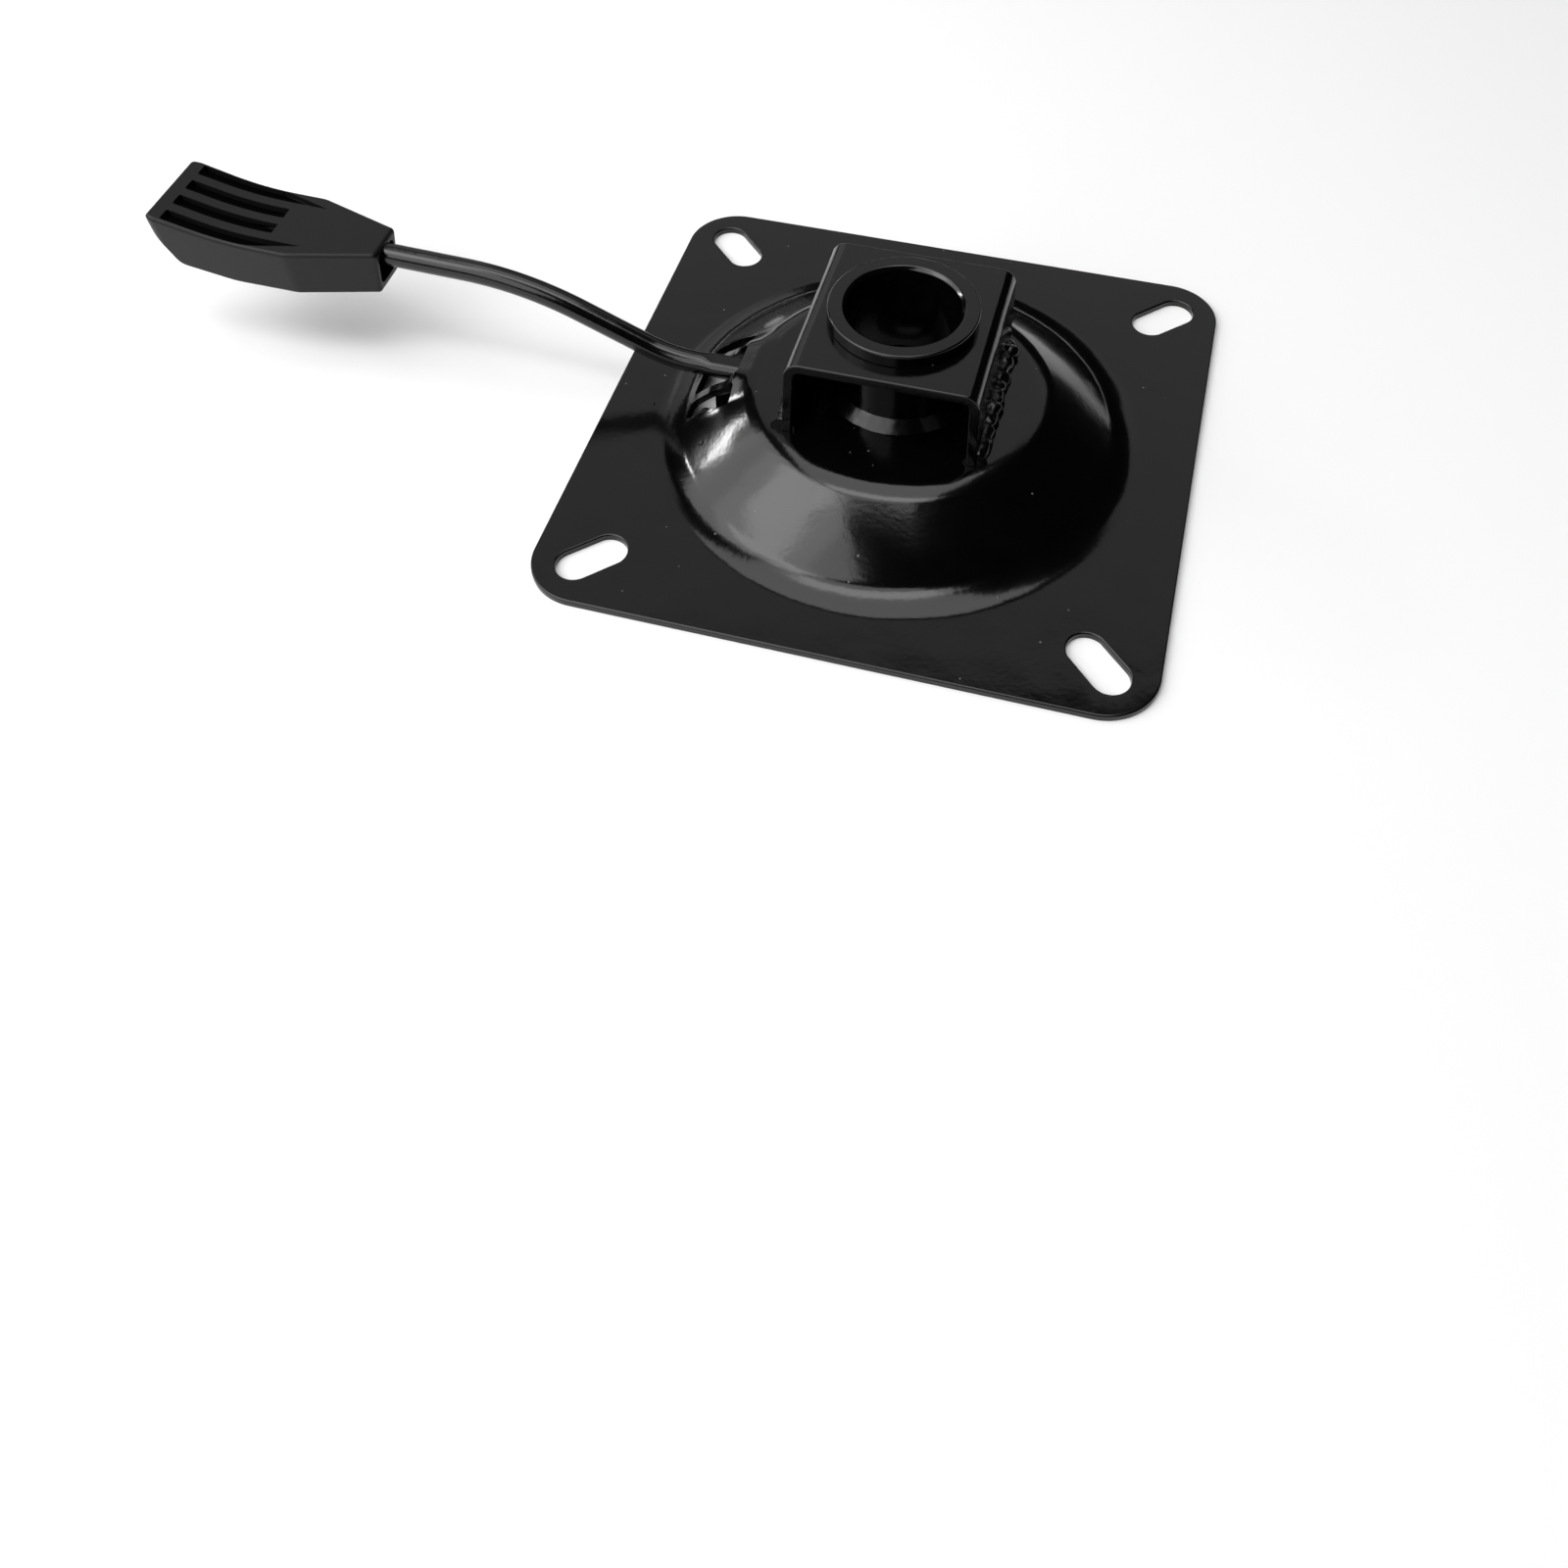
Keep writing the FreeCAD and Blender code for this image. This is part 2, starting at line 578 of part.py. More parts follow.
# Moulded grip: broad and dished where the fingers lie, narrow at the mouth, which is
# hollow round the rod. Four grooves follow the dish.
def make_lever_grip(rod):
    body = new_body("grip_blank")
    plan = lifted_sketch(body, "grip_plan", "XY_Plane", "Sizes.grip_lip")
    mouth, wide = "Sizes.grip_mouth_width / 2", "Sizes.grip_width / 2"
    spare = "Sizes.grip_edge"
    outline(plan, [
        (f"-Sizes.grip_mouth + {spare}", f"-{mouth}"),
        (f"-Sizes.grip_mouth + {spare}", mouth),
        ("-Sizes.grip_waist", wide, "Sizes.grip_shoulder"),
        (f"-Sizes.grip_end - {spare}", wide, "Sizes.grip_corner"),
        (f"-Sizes.grip_end - {spare}", f"-{wide}", "Sizes.grip_corner"),
        ("-Sizes.grip_waist", f"-{wide}", "Sizes.grip_shoulder"),
    ])
    block = pad(body, plan, "grip_block", f"Sizes.grip_lip - Sizes.grip_base + {spare}", reverse=True)
    block.setExpression("TaperAngle", "-Sizes.grip_draft")
    doc.recompute()

    side = new_sketch(body, "grip_side", "XZ_Plane")
    around = "Sizes.grip_margin"
    outline(side, rectangle_corners(f"-Sizes.grip_end - {around}", f"-Sizes.grip_mouth + {around}",
                                    f"Sizes.grip_base - {around}", f"Sizes.grip_lip + {around}",
                                    "Sizes.grip_edge"))
    outline(side, grip_side_corners())
    trimmed = cut_through(body, side, "grip_trim")

    rounding = body.newObject("PartDesign::Fillet", "grip_edge_round")
    rounding.Base = (trimmed, grip_edges(trimmed.Shape))
    rounding.setExpression("Radius", "Sizes.grip_edge")
    doc.recompute()

    recess = lifted_sketch(body, "recess_outline", "YZ_Plane", "-Sizes.grip_mouth - Sizes.recess_depth")
    outline(recess, rectangle_corners("-Sizes.recess_width / 2", "Sizes.recess_width / 2",
                                      "Sizes.recess_low", "Sizes.recess_high", "Sizes.recess_round"))
    hollow = body.newObject("PartDesign::Pocket", "recess")
    hollow.Profile = recess
    hollow.Type = "ThroughAll"
    hollow.Reversed = True
    doc.recompute()

    cutter = make_groove_cutter()
    bored = doc.addObject("Part::Cut", "grip_bored")
    bored.Base, bored.Tool = body, rod
    grip = doc.addObject("Part::Cut", "lever_grip")
    grip.Label = "lever_grip"
    grip.Base, grip.Tool = bored, cutter
    doc.recompute()
    return grip


def grip_side_corners():
    """Side view, from the foot of the mouth over the dished top to the nose, heel and belly."""
    return [
        ("-Sizes.grip_mouth - Sizes.grip_mouth_lean", "Sizes.grip_base", "Sizes.grip_end_round"),
        ("-Sizes.grip_mouth", "Sizes.grip_top", "Sizes.grip_end_round"),
        ("-Sizes.grip_dip_place", "Sizes.grip_dip", "Sizes.grip_dip_radius"),
        ("-Sizes.grip_end + Sizes.grip_lip_lean", "Sizes.grip_lip", "Sizes.grip_end_round"),
        ("-Sizes.grip_end", "Sizes.grip_nose", "Sizes.grip_nose_round"),
        ("-Sizes.grip_heel_place", "Sizes.grip_heel", "Sizes.grip_heel_round"),
        ("-Sizes.grip_belly_place", "Sizes.grip_belly", "Sizes.grip_belly_round"),
    ]


def grip_edges(shape):
    """One long straight edge on each side. The rounding runs on round the whole side from it."""
    wanted = []
    for n, edge in enumerate(shape.Edges, start=1):
        middle = edge.valueAt((edge.FirstParameter + edge.LastParameter) / 2)
        at_side = abs(middle.y) > number("Sizes.grip_width / 2 - Sizes.grip_edge")
        inward_of_dip = number("-Sizes.grip_dip_place + Sizes.grip_shoulder") < middle.x
        outward_of_waist = middle.x < number("-Sizes.grip_waist - Sizes.grip_edge")
        if at_side and inward_of_dip and outward_of_waist and middle.z > number("Sizes.grip_top"):
            wanted.append(f"Edge{n}")
    return wanted


def make_groove_cutter():
    """Four straight grooves in plan, with a floor that follows the dished top."""
    plan = doc.addObject("Sketcher::SketchObject", "groove_plan")
    plan.setExpression("Placement.Base.z", "Sizes.grip_dip - 2 * Sizes.groove_depth")
    half, gap = "Sizes.groove_width / 2", "Sizes.groove_pitch"
    for row in (-0.5, 0.5):
        outline(plan, rectangle_corners(
            "-Sizes.groove_start", "-Sizes.groove_inner_end", f"{row} * {gap} - {half}",
            f"{row} * {gap} + {half}", "Sizes.groove_round"))
    for hand in (-1, 1):
        near, far = f"{hand} * (1.5 * {gap} - {half})", f"{hand} * (1.5 * {gap} + {half})"
        outline(plan, [
            ("-Sizes.groove_start", near, "Sizes.groove_round"),
            ("-Sizes.groove_outer_end", near),
            ("-Sizes.groove_curl_place", far, "Sizes.groove_curl"),
            ("-Sizes.groove_start", far, "Sizes.groove_round"),
        ])
    blank = doc.addObject("Part::Extrusion", "groove_blank")
    blank.Base = plan
    blank.Dir = (0, 0, 1)
    blank.setExpression("LengthFwd", "Sizes.grip_lip - Sizes.grip_dip + 4 * Sizes.groove_depth")
    blank.Solid = True
    floor_side = doc.addObject("Sketcher::SketchObject", "groove_floor_side")
    floor_side.Placement.Rotation = FreeCAD.Rotation(FreeCAD.Vector(1, 0, 0), 90)
    deep = "Sizes.groove_depth"
    outline(floor_side, [
        ("-Sizes.grip_mouth", "Sizes.grip_base"),
        ("-Sizes.grip_mouth", f"Sizes.grip_top - {deep}"),
        ("-Sizes.grip_dip_place", f"Sizes.grip_dip - {deep}", f"Sizes.grip_dip_radius + {deep}"),
        ("-Sizes.grip_end + Sizes.grip_lip_lean", f"Sizes.grip_lip - {deep}"),
        ("-Sizes.grip_end", "Sizes.grip_base"),
    ])
    floor = doc.addObject("Part::Extrusion", "groove_floor")
    floor.Base = floor_side
    floor.Dir = (0, 1, 0)
    floor.setExpression("LengthFwd", "Sizes.grip_width")
    floor.setExpression("LengthRev", "Sizes.grip_width")
    floor.Solid = True
    cutter = doc.addObject("Part::Cut", "groove_cutter")
    cutter.Base, cutter.Tool = blank, floor
    doc.recompute()
    return cutter


doc.recompute()
base_plate = make_base_plate()
channel_bracket = make_channel_bracket()
socket_bush = make_socket_bush()
socket_weld = make_socket_weld()
weld_left = make_bracket_weld("bracket_weld_left", -1, [channel_bracket, base_plate])
weld_right = make_bracket_weld("bracket_weld_right", 1, [channel_bracket, base_plate])
pivot_pin, pin_blank = make_pivot_pin()
lever_rod = make_lever_rod(pin_blank)
lever_grip = make_lever_grip(lever_rod)

nodes = [base_plate, channel_bracket, socket_bush, socket_weld, weld_left, weld_right,
         pivot_pin, lever_rod, lever_grip]
for thing in doc.Objects:
    if "Invalid" in thing.State or "Error" in thing.State:
        raise RuntimeError(f"{thing.Label} failed: {thing.State}")
os.makedirs("parts", exist_ok=True)
for node in nodes:
    shape = node.Shape
    if shape.isNull() or not shape.isValid():
        raise RuntimeError(f"{node.Label} has no valid shape")
    shape.exportStep(f"parts/{node.Label}.step")
    print(node.Label, len(shape.Solids), round(shape.Volume, 1), shape.BoundBox)
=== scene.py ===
"""Seat plate of a swivelling stool: a black painted pressing with a welded channel and socket
for the gas lift, and a bent lever with a moulded grip that presses the lift's button."""

import math

import bmesh
import bpy
from mathutils import Euler, Matrix, Vector, noise


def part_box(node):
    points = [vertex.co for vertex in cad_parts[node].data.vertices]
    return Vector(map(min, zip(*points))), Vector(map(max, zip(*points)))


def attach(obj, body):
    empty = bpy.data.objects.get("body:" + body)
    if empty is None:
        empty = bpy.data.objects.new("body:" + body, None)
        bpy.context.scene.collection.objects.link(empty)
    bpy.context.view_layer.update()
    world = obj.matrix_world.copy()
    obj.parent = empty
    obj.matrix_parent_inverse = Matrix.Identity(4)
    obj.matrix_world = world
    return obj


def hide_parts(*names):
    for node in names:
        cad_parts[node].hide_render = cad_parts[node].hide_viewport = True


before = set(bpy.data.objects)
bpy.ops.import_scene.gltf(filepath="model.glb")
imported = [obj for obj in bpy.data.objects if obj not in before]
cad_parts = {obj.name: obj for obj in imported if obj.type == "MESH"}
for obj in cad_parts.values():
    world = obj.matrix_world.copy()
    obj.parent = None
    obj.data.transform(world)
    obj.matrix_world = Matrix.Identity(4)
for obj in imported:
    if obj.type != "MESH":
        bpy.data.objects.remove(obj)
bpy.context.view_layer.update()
mm = 0.001


# Camera: a normal lens in front of the plate and a little to its right, looking down on it. The
# small shift keeps the object in the upper half of the picture without tipping the camera more.
camera = bpy.data.objects.new("camera", bpy.data.cameras.new("camera"))
camera.location = (0.0505, -0.2756, 0.2772)
camera.rotation_euler = Euler([math.radians(turn) for turn in (37.72, 0.79, 15.68)])
camera.data.lens = 33.66
camera.data.sensor_width = 36.0
camera.data.shift_y = -0.1
camera.data.clip_start = 0.01
bpy.context.scene.collection.objects.link(camera)
bpy.context.scene.camera = camera
bpy.context.scene.view_settings.view_transform = "Standard"


# Studio: a pale round floor in a surround that only the camera sees as pale, so that the black paint
# doesn't reflect it. A long soft box on the left draws the broad highlight on the dome, a small
# strong one the hot spot beside the lever, and dim cards behind the plate show in its flat faces.
# The boxes overhead whiten the floor and light the dome's foot.
studio = bpy.data.worlds.new("studio")
studio.use_nodes = True
surround = studio.node_tree.nodes["Background"]
surround.inputs["Color"].default_value = (1.0, 1.0, 1.0, 1.0)
sight = studio.node_tree.nodes.new("ShaderNodeLightPath")
backdrop = studio.node_tree.nodes.new("ShaderNodeMapRange")
backdrop.inputs["To Min"].default_value = 0.008
backdrop.inputs["To Max"].default_value = 0.95
studio.node_tree.links.new(sight.outputs["Is Camera Ray"], backdrop.inputs["Value"])
studio.node_tree.links.new(backdrop.outputs["Result"], surround.inputs["Strength"])
bpy.context.scene.world = studio

floor_mesh = bmesh.new()
bmesh.ops.create_circle(floor_mesh, cap_ends=True, segments=96, radius=1.4)
floor_data = bpy.data.meshes.new("floor")
floor_mesh.to_mesh(floor_data)
floor_mesh.free()
floor = bpy.data.objects.new("floor", floor_data)
bpy.context.scene.collection.objects.link(floor)

floor_paper = bpy.data.materials.new("floor_paper")
floor_paper.use_nodes = True
paper_shader = floor_paper.node_tree.nodes["Principled BSDF"]
paper_shader.inputs["Base Color"].default_value = (0.9, 0.9, 0.9, 1)
paper_shader.inputs["Roughness"].default_value = 0.9
floor_data.materials.append(floor_paper)


def soft_box(name, azimuth, height, distance, size, brightness):
    """Rectangular light that faces the plate. Its direction is in degrees, from +X and up from the
    floor. Sizes are in metres, and a brightness of 1 shows as white."""
    turn, rise = math.radians(azimuth), math.radians(height)
    place = Vector((math.cos(turn) * math.cos(rise), math.sin(turn) * math.cos(rise), math.sin(rise)))
    lamp = bpy.data.lights.new(name, "AREA")
    lamp.shape = "RECTANGLE"
    lamp.size, lamp.size_y = size
    lamp.energy = brightness * math.pi * size[0] * size[1]
    box = bpy.data.objects.new(name, lamp)
    box.location = place * distance
    box.rotation_euler = (-place).to_track_quat("-Z", "Y").to_euler()
    bpy.context.scene.collection.objects.link(box)


soft_box("left_box", -144.0, 38.5, 1.5, (2.7, 1.3), 2.3)
soft_box("left_core", -152.0, 45.0, 1.35, (1.0, 0.8), 0.8)
soft_box("left_heart", -152.0, 46.0, 1.3, (0.5, 0.45), 2.0)
soft_box("hot_spot", 166.0, 21.5, 1.2, (0.18, 0.065), 28.0)
soft_box("back_card", 100.0, 43.0, 2.0, (2.3, 1.0), 0.48)
soft_box("corner_card", 126.0, 19.0, 2.0, (1.0, 0.8), 0.5)
soft_box("top_box", 180.0, 84.0, 1.6, (1.6, 1.3), 2.0)
soft_box("front_box", -92.0, 78.0, 1.6, (1.2, 0.32), 2.6)


# Seat plate: sheet steel 1.8 mm thick, blanked square with round corners and four screw slots,
# with a flat-topped dome drawn up in the middle. The wall over the lever is lanced: a middle
# opening lets the bar out, and two tongues beside it are turned down as ears for the pin.
sheet = 1.8 * mm
plate_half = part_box("base_plate")[1].x
plate_corner = 14.0 * mm
dome_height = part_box("base_plate")[1].z
dome_hole = 13.5 * mm
dome_top, dome_foot = 37.6 * mm, 59.8 * mm
dome_edge = dome_foot + 5.5 * mm
rim_round, foot_round = 9.5 * mm, 14.5 * mm
wall_slope = math.atan2(dome_height - sheet, dome_foot - dome_top)
wall_crown, wall_steps = 0.2 * mm, 23
rim_reach = rim_round * math.tan(wall_slope / 2)
foot_reach = foot_round * math.tan(wall_slope / 2)
slot_place, slot_length, slot_width = 88.7 * mm, 18.8 * mm, 9.7 * mm
opening_low, opening_high, opening_side = -54.2 * mm, -41.8 * mm, 5.6 * mm
slit_low, slit_high, slit_near, slit_far = -54.0 * mm, -41.8 * mm, 8.1 * mm, 14.0 * mm
window_corner = 1.2 * mm
strap_rise = 0.9 * mm
lip_rise, lip_spread = 0.6 * mm, 1.4 * mm
hood_height, hood_start, hood_fall = 17.95 * mm, -38.0 * mm, 0.22
hood_side, hood_side_fade = 14.0 * mm, 9.5 * mm
hood_end, hood_end_fade = -45.5 * mm, 3.7 * mm
edge_break = 0.5 * mm


def wire(bm, corners, closed=False):
    """Chain of edges through the corners."""
    spots = [bm.verts.new(corner) for corner in corners]
    for pair in zip(spots, spots[1:]):
        bm.edges.new(pair)
    if closed:
        bm.edges.new((spots[-1], spots[0]))
    return spots


def round_corners(bm, corners, reach, segments):
    """Round wire corners. Reach is the length that the rounding takes from each side."""
    bmesh.ops.bevel(bm, geom=corners, offset=reach, offset_type="OFFSET", affect="VERTICES",
                    segments=segments, profile=0.5, material=-1, clamp_overlap=True)


def break_edges(bm, edges, width, segments=3):
    """Take the sharpness off sheet edges, as tumbling and paint do."""
    bmesh.ops.bevel(bm, geom=edges, offset=width, offset_type="OFFSET", affect="EDGES",
                    segments=segments, profile=0.5, material=-1, clamp_overlap=False)


def wall_normal(spot):
    """Way out of the dome's surface at a spot, from its section."""
    away = spot.xy.length
    past_rim = min(1.0, max(0.0, (away - dome_top + rim_reach) / rim_round))
    before_foot = min(1.0, max(0.0, (dome_foot + foot_reach - away) / foot_round))
    tilt = min(wall_slope, math.asin(past_rim), math.asin(before_foot))
    return Vector((spot.x / away * math.sin(tilt), spot.y / away * math.sin(tilt), math.cos(tilt)))


def make_piece(bm, name, body, nodes, sharp=35.0):
    """Object from the mesh, shaded smooth between its sharp edges, riding on its body."""
    bmesh.ops.remove_doubles(bm, verts=bm.verts[:], dist=0.002 * mm)
    bmesh.ops.recalc_face_normals(bm, faces=bm.faces[:])
    for face in bm.faces:
        face.smooth = True
    for edge in bm.edges:
        edge.smooth = len(edge.link_faces) == 2 and edge.calc_face_angle(0.0) < math.radians(sharp)
    data = bpy.data.meshes.new(name)
    bm.to_mesh(data)
    bm.free()
    piece = bpy.data.objects.new(name, data)
    bpy.context.scene.collection.objects.link(piece)
    shading = piece.modifiers.new("even_shading", "WEIGHTED_NORMAL")
    shading.keep_sharp = True
    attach(piece, body)
    if nodes:
        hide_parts(*nodes)
    return piece


def slot_loop(bm, turn):
    """Round-ended slot that points at the plate's centre."""
    ring = bmesh.ops.create_circle(bm, cap_ends=False, segments=38, radius=slot_width / 2)["verts"]
    half_run = (slot_length - slot_width) / 2
    for vert in ring:
        vert.co.x += math.copysign(half_run, vert.co.x) + slot_place
    bmesh.ops.rotate(bm, verts=ring, cent=(0, 0, 0), matrix=Matrix.Rotation(turn, 3, "Z"))
    bmesh.ops.translate(bm, verts=ring, vec=(0, 0, sheet))


def ease(share):
    """Smooth step from 0 to 1."""
    share = min(1.0, max(0.0, share))
    return share * share * (3 - 2 * share)


def slice_wall(bm, place, across, reach):
    """Divide the faces of the dome's wall along an upright plane. Reach bounds them in plan."""
    left, right, low, high = reach
    near = [face for face in bm.faces if left < face.calc_center_median().x < right
            and low < face.calc_center_median().y < high]
    corners = {vert for face in near for vert in face.verts}
    sides = {edge for face in near for edge in face.edges}
    bmesh.ops.bisect_plane(bm, geom=near + list(sides) + list(corners), dist=0.01 * mm,
                           plane_co=place, plane_no=across)


def open_wall(bm, left, right, low, high):
    """Cut an opening with round corners, given in plan, through the dome's wall."""
    corners = []
    for x, y, first in ((right, high, 0), (left, high, 90), (left, low, 180), (right, low, 270)):
        middle = Vector((x - math.copysign(window_corner, x - (left + right) / 2),
                         y - math.copysign(window_corner, y - (low + high) / 2), 0))
        for step in range(4):
            turn = math.radians(first + step * 30)
            corners.append(middle + Vector((math.cos(turn), math.sin(turn), 0)) * window_corner)
    ring = list(zip(corners, corners[1:] + corners[:1]))
    reach = (left - 1.0 * mm, right + 1.0 * mm, low - 1.0 * mm, high + 1.0 * mm)
    for start, end in ring:
        slice_wall(bm, start, (end - start).cross(Vector((0, 0, 1))).normalized(), reach)
    inside = [face for face in bm.faces if face.calc_center_median().z < dome_height - 0.5 * mm
              and all((end - start).cross(face.calc_center_median() - start).z > 0 for start, end in ring)]
    bmesh.ops.delete(bm, geom=inside, context="FACES")


plate_mesh = bmesh.new()
profile = wire(plate_mesh, [(dome_hole, 0, dome_height), (dome_top, 0, dome_height),
                            (dome_foot, 0, sheet), (dome_edge, 0, sheet)])
round_corners(plate_mesh, [profile[1]], rim_reach, 14)
round_corners(plate_mesh, [profile[2]], foot_reach, 14)

# The straight wall between the two bends is crowned a little.
long_side = max(plate_mesh.edges, key=lambda edge: abs(edge.verts[0].co.z - edge.verts[1].co.z))
wall_start, wall_end = sorted(vert.co.x for vert in long_side.verts)
wall_out = Vector((math.sin(wall_slope), 0, math.cos(wall_slope)))
crowned = bmesh.ops.subdivide_edges(plate_mesh, edges=[long_side], cuts=wall_steps - 1)["geom_inner"]
for item in crowned:
    if isinstance(item, bmesh.types.BMVert):
        share = (item.co.x - wall_start) / (wall_end - wall_start)
        item.co += wall_crown * 4 * share * (1 - share) * wall_out
bmesh.ops.spin(plate_mesh, geom=plate_mesh.verts[:] + plate_mesh.edges[:], cent=(0, 0, 0),
               axis=(0, 0, 1), angle=math.tau, steps=360, use_merge=True)

# The lancing raises the straps and the slits' far lips, and draws the rim out over the bar.
open_wall(plate_mesh, opening_low, opening_high, -opening_side, opening_side)
open_wall(plate_mesh, slit_low, slit_high, slit_near, slit_far)
open_wall(plate_mesh, slit_low, slit_high, -slit_far, -slit_near)
for vert in plate_mesh.verts:
    along = (vert.co.x - slit_low) / (slit_high - slit_low)
    beside = abs(vert.co.y)
    if 0 < along < 1 and beside < slit_near + 0.1 * mm:
        vert.co.z += strap_rise * math.sin(math.pi * along)
    elif 0 < along < 1 and beside > slit_far - 0.1 * mm:
        fade = math.exp(-((beside - slit_far) / lip_spread) ** 2)
        vert.co.z += lip_rise * math.sin(math.pi * along) ** 2 * fade
    if vert.co.x < hood_start + 3 * mm:
        hood = hood_height - max(0.0, hood_start - vert.co.x) * hood_fall
        over_bar = ease((hood_side - beside) / hood_side_fade)
        over_bar *= ease((vert.co.x - hood_end) / hood_end_fade)
        vert.co.z += max(0.0, hood - vert.co.z) * over_bar

square = bmesh.ops.create_circle(plate_mesh, cap_ends=False, segments=4,
                                 radius=plate_half * math.sqrt(2))["verts"]
bmesh.ops.rotate(plate_mesh, verts=square, cent=(0, 0, 0),
                 matrix=Matrix.Rotation(math.pi / 4, 3, "Z"))
bmesh.ops.translate(plate_mesh, verts=square, vec=(0, 0, sheet))
round_corners(plate_mesh, square, plate_corner, 20)
for quarter in range(4):
    slot_loop(plate_mesh, math.pi / 4 + quarter * math.pi / 2)
rims = [edge for edge in plate_mesh.edges if len(edge.link_faces) < 2
        and min(vert.co.xy.length for vert in edge.verts) > dome_edge - 0.1 * mm]
bmesh.ops.triangle_fill(plate_mesh, use_beauty=True, use_dissolve=False, edges=rims, normal=(0, 0, 1))
bmesh.ops.recalc_face_normals(plate_mesh, faces=plate_mesh.faces[:])
inner_skin = bmesh.ops.extrude_face_region(plate_mesh, geom=plate_mesh.faces[:], use_keep_orig=True)
for item in inner_skin["geom"]:
    if isinstance(item, bmesh.types.BMVert):
        item.co -= wall_normal(item.co) * sheet
bmesh.ops.recalc_face_normals(plate_mesh, faces=plate_mesh.faces[:])
upper_rims = [edge for edge in plate_mesh.edges
              if all(abs(vert.co.z - sheet) < 0.01 * mm for vert in edge.verts)
              and edge.verts[0].co.xy.length > dome_edge + 1 * mm and edge.calc_face_angle(0.0) > 1.0]
break_edges(plate_mesh, upper_rims, edge_break)

# The ears are turned down from the straps' inner ends and carry the pivot pin.
pin_low, pin_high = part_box("pivot_pin")
pin_radius = (pin_high.z - pin_low.z) / 2
pin_place, pin_height = (pin_low.x + pin_high.x) / 2, (pin_low.z + pin_high.z) / 2
pin_clearance = 0.05 * mm
ear_out, ear_in, ear_foot, ear_round = -46.5 * mm, -37.2 * mm, 4.0 * mm, 3.0 * mm
ear_root_out, ear_root_in = 11.2 * mm, 16.8 * mm


def add_ear(bm, side):
    """Tongue turned down beside the opening, round at its foot, with a hole for the pin."""
    ear_face = side * slit_near
    corners = wire(bm, [(ear_out, ear_face, ear_foot), (ear_in, ear_face, ear_foot),
                        (ear_in, ear_face, ear_root_in), (ear_out, ear_face, ear_root_out)], closed=True)
    before = set(bm.faces)
    round_corners(bm, corners[:2], ear_round, 8)
    bmesh.ops.create_circle(bm, cap_ends=False, segments=36, radius=pin_radius + pin_clearance,
                            matrix=Matrix.Translation((pin_place, ear_face, pin_height))
                            @ Matrix.Rotation(math.pi / 2, 4, "X"))
    loose = [edge for edge in bm.edges if not edge.link_faces]
    bmesh.ops.triangle_fill(bm, use_beauty=True, use_dissolve=False, edges=loose, normal=(0, 1, 0))
    ear = [face for face in bm.faces if face not in before]
    grown = bmesh.ops.extrude_face_region(bm, geom=ear, use_keep_orig=True)["geom"]
    moved = [item for item in grown if isinstance(item, bmesh.types.BMVert)]
    bmesh.ops.translate(bm, verts=moved, vec=(0, side * sheet, 0))


add_ear(plate_mesh, -1)
add_ear(plate_mesh, 1)

# A ball of weld spatter hangs on the near slit's edge.
ball_place, ball_radius = Vector((-48.4, -13.0, 6.8)) * mm, 2.2 * mm
bmesh.ops.create_icosphere(plate_mesh, subdivisions=3, radius=ball_radius,
                           matrix=Matrix.Translation(ball_place))
seat_plate = make_piece(plate_mesh, "seat_plate", "plate", ["base_plate"])


